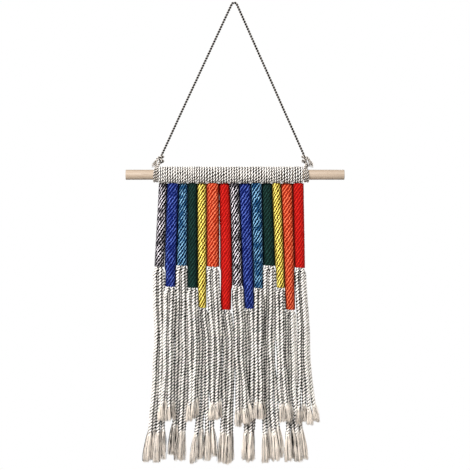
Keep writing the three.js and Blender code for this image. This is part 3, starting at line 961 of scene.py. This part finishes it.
def cotton_finish(name, light, dark, lay, narrow, tinted, level, crisp):
    """narrow: the higher, the thinner the painted shade lines in the grooves. tinted: how much darker
    tone 0 is.

    level: the depth of painted shade at which light turns to dark. crisp: how sharply it does.
    """
    paint = Paint(name)
    along, around = paint.along_and_around()
    shade, tint, combed = (paint.attribute(title) for title in ("shade", "tint", "combed"))
    straight = around + along * (2 * math.pi * CORD_R / lay)
    fibres = paint.noise(paint.vector(along * 9.0, straight * 110.0), 1.0, 3.0)
    ply_lines = paint.noise(paint.vector(along * 22.0, around * 60.0), 1.0, 1.0)
    patches = paint.spread(paint.noise(paint.position(), 90.0, 2.0), 0.35, 0.65)
    # Painted shade from the grooves, the flanks and the lock gaps, varied by patches, plus each
    # strand's own tone.
    depth = (1 - shade) ** narrow * (patches * 0.3 + 0.75) + (1 - tint) * tinted
    depth = (depth + (fibres - 0.5) * 0.4 - level) * crisp + 0.5
    tone = paint.blend(combed, light, COMBED_TONE)
    colour = paint.blend(depth.clamped(), tone, dark)
    height = fibres * 0.6 + ply_lines * 0.4
    paint.surface(
        Base_Color=colour,
        Roughness=0.92,
        Specular_IOR_Level=0.1,
        Normal=paint.bump(height, 0.55, 0.0005),
    )
    return paint.material


# The second tone of each pair is the dark that the painted shade and a darker strand tone blend
# toward.
strand_tones = screen(246, 240, 233), screen(12, 9, 8)
hanger_tones = screen(226, 217, 207), screen(5, 4, 4)
cotton = cotton_finish("cotton_cord", *strand_tones, CORD_LAY, **STRAND_LOOK)
thin_cotton = cotton_finish("thin_cotton_cord", *hanger_tones, HANGER_LAY, **HANGER_LOOK)
for piece in cotton_columns:
    piece.data.materials.append(cotton)
for piece in [hanging_cord, *end_knots]:
    piece.data.materials.append(thin_cotton)
print("cotton on", len(cotton_columns) + len(end_knots) + 1, "pieces")

# %% [markdown]
# ## Yarn
# Each wrap has its own colour. The yarn is spun from fibres in several tones: in the grey one
# near-black and near-white plies are twisted together, and the red one is almost even. The plies come
# up in turn as flecks along the thread, a little further on with each turn, so they line up in
# slanting rows. One wave along the thread gives them: its tops are the light flecks and its troughs
# the dark ones. The thread's edges, where each turn lies against the next, get a painted shade. The
# flanks get a much darker painted shade, because wraps that touch leave no light there.

# %% Coloured yarn
YARNS = {  # main tone, light and dark flecks in screen numbers, how rare the light ones are
    "grey": ((34, 30, 37), (246, 238, 244), (1, 1, 2), 0.76),
    "royal": ((5, 22, 88), (84, 104, 180), (4, 14, 64), 0.74),
    "steel": ((8, 58, 98), (142, 192, 222), (0, 13, 32), 0.8),
    "green": ((10, 31, 28), (30, 60, 54), (6, 22, 19), 0.66),
    "yellow": ((180, 146, 38), (242, 228, 118), (50, 30, 7), 0.5),
    "orange": ((176, 50, 20), (224, 116, 80), (118, 25, 9), 0.7),
    "red": ((163, 13, 9), (196, 38, 30), (128, 8, 6), 0.66),
}
# Painted shade on the wraps' flanks: how strong it is, and how dark its tone is.
FLANK_SHADOW = 0.85  # how much of the flanks' tone is the darker one
FLANK_SHADE_TONE = 0.08  # the darker tone, as a share of the main one


def yarn_finish(name, *tones, rare):
    paint = Paint("yarn_" + name)
    main, light, dark = (screen(*tone) for tone in tones)
    along, around = paint.along_and_around()
    shade = paint.attribute("shade")
    wander = paint.noise(paint.vector(along * 2.4, around * 5.0), 1.0, 3.0)
    marl = (along * (2 * math.pi / MARL_LONG * 10) + wander * 8.0 + around * 9.0).sine()
    patches = paint.spread(paint.noise(paint.position(), 130.0, 2.0), 0.4, 0.62)
    marl = marl * (patches * 0.42 + 0.86)
    fibres = paint.noise(paint.vector(along * 22.0, around * 90.0), 1.0, 2.0)
    flank_shade_mask = 1 - paint.attribute("tint")
    colour = paint.blend(((marl - rare) * 5.0).clamped(), main, light)
    # Dark flecks, and painted shade on the thread's edges between turns.
    colour = paint.blend((marl * -2.6 + (1 - shade) * 0.5 - 0.1).clamped(), colour, dark)
    # Painted shade on the flanks, where wraps touch.
    flank_shade_tone = (*(part * FLANK_SHADE_TONE for part in main[:3]), 1.0)
    colour = paint.blend(flank_shade_mask * FLANK_SHADOW, colour, flank_shade_tone)
    paint.surface(
        Base_Color=colour,
        Roughness=0.85,
        Specular_IOR_Level=0.06,
        Normal=paint.bump(marl * 0.3 + fibres * 0.7, 0.5, 0.0004),
    )
    return paint.material


yarn_materials = {}
for name, (*tones, rare) in YARNS.items():
    yarn_materials[name] = yarn_finish(name, *tones, rare=rare)
for column, wrap in zip(COLUMNS, wraps):
    wrap.data.materials.append(yarn_materials[column["yarn"]])
print(len(yarn_materials), "yarns on", len(wraps), "wraps")

# %% [markdown]
# ## Wood
# The dowel is a pale, plain wood. Its growth rings run through it from end to end, so along the rod
# they show as long streaks and on the sawn ends as arcs. One ring pattern in Object coordinates gives
# both: the distance from an axis that lies beside the rod, bent a little by a noise that is drawn out
# along X.

# %% Wood grain
RING_WIDE = 0.0016
RING_AXIS = 0.222  # the middle of the tree, in metres below the hook
PALE_WOOD, WARM_WOOD, PORE = screen(178, 163, 147), screen(144, 120, 95), screen(104, 78, 54)


def wood_finish():
    paint = Paint("dowel_wood")
    x, y, z = paint.split(paint.position())
    warp = paint.noise(paint.vector(x * 9.0, y * 90.0, z * 90.0), 1.0, 2.0)
    rings = paint.vector(0.0, y + (warp - 0.5) * 0.006, z + RING_AXIS + (warp - 0.5) * 0.004)
    far = paint.node("ShaderNodeVectorMath", {"operation": "LENGTH"}, {0: rings}, "Value")
    growth = (far * (2 * math.pi / RING_WIDE)).sine() * 0.5 + 0.5
    streaks = paint.noise(paint.vector(x * 30.0, y * 900.0, z * 900.0), 1.0, 3.0, 0.6)
    pores = paint.noise(paint.vector(x * 120.0, y * 2600.0, z * 2600.0), 1.0, 1.0)
    pores = paint.spread(pores, 0.62, 0.74)
    tone = growth**2.0 * 0.35 + (streaks - 0.5) * 0.7 + 0.25
    colour = paint.blend(tone.clamped(), PALE_WOOD, WARM_WOOD)
    colour = paint.blend(pores * 0.4, colour, PORE)
    height = streaks * 0.5 - pores * 0.6 - growth * 0.2
    paint.surface(
        Base_Color=colour,
        Roughness=streaks * 0.2 + 0.5,
        Specular_IOR_Level=0.35,
        Normal=paint.bump(height, 0.35, 0.0003),
    )
    return paint.material


dowel.data.materials.append(wood_finish())
print("wood on the dowel")

# %% [markdown]
# ## Floor, light and background
# The hanging is lit by two soft lamps in front of it and above, one to the left and one almost
# straight in front. The gaps between the strands stay dark, because the light comes from the front.
# Three weak lamps show the sides and the back. The floor is a pale disc well below the fringe. The
# background is white where the camera sees it, but it gives only a little light, or it would fill the
# gaps.

# %% The floor
FLOOR_Z = -900.0
FLOOR_R = 600.0

bpy.ops.object.select_all(action="DESELECT")
bpy.ops.mesh.primitive_circle_add(
    vertices=96, radius=FLOOR_R * MM, fill_type="NGON", location=(0, 0, FLOOR_Z * MM)
)
floor = bpy.context.active_object
floor.name = "floor"
floor_paint = Paint("floor_paint")
floor_paint.surface(Base_Color=screen(238, 236, 232), Roughness=0.8)
floor.data.materials.append(floor_paint.material)

# %% Lamps and sky
LAMPS = {  # where it is, its side length, and its power in watts
    "key": ((-1350, -2150, 1000), 350, 78),
    "front": ((-150, -2500, 900), 500, 72),
    "left": ((-2400, 300, 300), 900, 14),
    "right": ((2400, 300, 300), 900, 14),
    "behind": ((700, 1500, 500), 900, 12),
}
AIM = (0, 0, -300)
SKY_LIGHT = 0.12


for name, (place, side, watts) in LAMPS.items():
    data = bpy.data.lights.new(name, "AREA")
    data.size = side * MM
    data.energy = watts
    lamp = bpy.data.objects.new(name, data)
    lamp.location = [value * MM for value in place]
    x, y, z = (a - b for a, b in zip(AIM, place))
    tilt = math.atan2(math.hypot(x, y), -z)
    lamp.rotation_euler = (tilt, 0.0, math.atan2(y, x) - math.radians(90))
    bpy.context.scene.collection.objects.link(lamp)

world = bpy.data.worlds.new("studio")
world.use_nodes = True
bpy.context.scene.world = world
tree = world.node_tree
seen, given = tree.nodes["Background"], tree.nodes.new("ShaderNodeBackground")
for background, strength in ((seen, 1.0), (given, SKY_LIGHT)):
    background.inputs["Color"].default_value = (1, 1, 1, 1)
    background.inputs["Strength"].default_value = strength
path = tree.nodes.new("ShaderNodeLightPath")
choice = tree.nodes.new("ShaderNodeMixShader")
tree.links.new(path.outputs["Is Camera Ray"], choice.inputs["Fac"])
tree.links.new(given.outputs[0], choice.inputs[1])
tree.links.new(seen.outputs[0], choice.inputs[2])
tree.links.new(choice.outputs[0], tree.nodes["World Output"].inputs["Surface"])
bpy.context.scene.view_settings.view_transform = "Standard"
print(len(LAMPS), "lamps")
